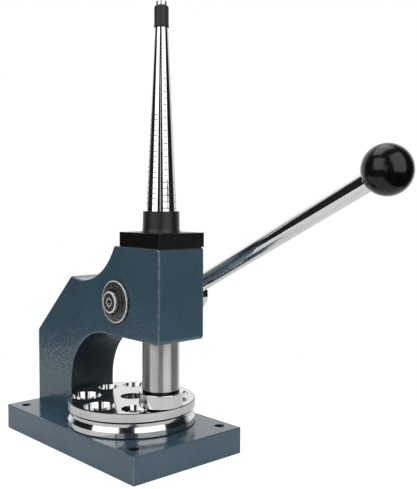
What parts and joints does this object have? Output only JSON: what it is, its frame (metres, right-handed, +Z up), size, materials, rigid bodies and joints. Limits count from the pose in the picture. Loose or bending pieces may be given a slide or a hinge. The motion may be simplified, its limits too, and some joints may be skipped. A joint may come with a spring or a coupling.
{
  "type": "ring stretcher and reducer press",
  "caption": "Bench ring stretcher and reducer: a lever press whose rack-and-pinion ram pushes rings into a turning die plate and drives a tapered core up a slit mandrel.",
  "frame": {"origin": "centre of the base plate's underside", "axes": "+Z up along the mandrel, -Y towards the operator, +X the lever's side"},
  "size_m": [0.1086, 0.3202, 0.3312],
  "materials": {
    "slate_enamel": "gloss enamel with fine orange peel",
    "black_satin": "satin black",
    "charcoal_moulding": "satin charcoal",
    "black_rubber": "matt rubber",
    "mandrel_chrome": "polished and engraved",
    "ground_steel": "ground",
    "plain_steel": "plain",
    "turned_bright": "bright turned",
    "die_polish": "polished, finely ground face",
    "lever_chrome": "polished",
    "ball_black": "glossy moulded",
    "dark_steel": "dark turned",
    "black_oxide": "blackened",
    "bronze": "sintered bronze"
  },
  "bodies": {
    "frame": {"base_plate": "slate_enamel", "frame_casting": "slate_enamel", "frame_bolts": "black_oxide", "frame_dowels": "plain_steel", "top_plate": "black_satin", "top_plate_screws": "black_oxide", "mandrel_collar": "charcoal_moulding", "segment_return_ring": "black_rubber", "mandrel_cap": "black_rubber", "die_pivot_post": "ground_steel", "left_shaft_bush": "bronze", "right_shaft_bush": "bronze"},
    "lever": {"pinion_shaft": "ground_steel", "retaining_washer": "dark_steel", "spring_washer": "dark_steel", "retaining_screw": "dark_steel", "lever_hub": "lever_chrome", "hub_pin": "plain_steel", "lever_set_screw": "black_oxide", "lever_rod": "lever_chrome", "knob_insert": "bronze", "ball_knob": "ball_black"},
    "ram": {"ram": "ground_steel", "pusher": "turned_bright", "pusher_screw": "black_oxide", "expander_core": "ground_steel", "core_pin": "plain_steel", "core_tip_nut": "ground_steel"},
    "die_plate": {"die_plate": "die_polish"},
    "segment_front": {"mandrel_segment_front": "mandrel_chrome"},
    "segment_left": {"mandrel_segment_left": "mandrel_chrome"},
    "segment_rear": {"mandrel_segment_rear": "mandrel_chrome"},
    "segment_right": {"mandrel_segment_right": "mandrel_chrome"}
  },
  "joints": [
    {"name": "lever_swing", "type": "hinge", "parent": "frame", "child": "lever", "pos_m": [0, -0.0279, 0.1147], "axis": [-1, 0, 0], "range_deg": [0, 60]},
    {"name": "ram_slide", "type": "slide", "parent": "frame", "child": "ram", "axis": [0, 0, 1], "range_m": [0, 0.0144]},
    {"name": "die_turn", "type": "hinge", "parent": "frame", "child": "die_plate", "pos_m": [0, -0.018, 0.02], "axis": [0, 0, 1], "continuous": true},
    {"name": "segment_front_spread", "type": "slide", "parent": "frame", "child": "segment_front", "axis": [0, -1, 0], "range_m": [0, 0.000325]},
    {"name": "segment_left_spread", "type": "slide", "parent": "frame", "child": "segment_left", "axis": [-1, 0, 0], "range_m": [0, 0.000325]},
    {"name": "segment_rear_spread", "type": "slide", "parent": "frame", "child": "segment_rear", "axis": [0, 1, 0], "range_m": [0, 0.000325]},
    {"name": "segment_right_spread", "type": "slide", "parent": "frame", "child": "segment_right", "axis": [1, 0, 0], "range_m": [0, 0.000325]}
  ],
  "couplings": [
    {"joint": "ram_slide", "follows": "lever_swing", "m_per_rad": 0.01375},
    {"joint": "segment_front_spread", "follows": "lever_swing", "m_per_rad": 0.00030937},
    {"joint": "segment_left_spread", "follows": "lever_swing", "m_per_rad": 0.00030937},
    {"joint": "segment_rear_spread", "follows": "lever_swing", "m_per_rad": 0.00030937},
    {"joint": "segment_right_spread", "follows": "lever_swing", "m_per_rad": 0.00030937}
  ]
}
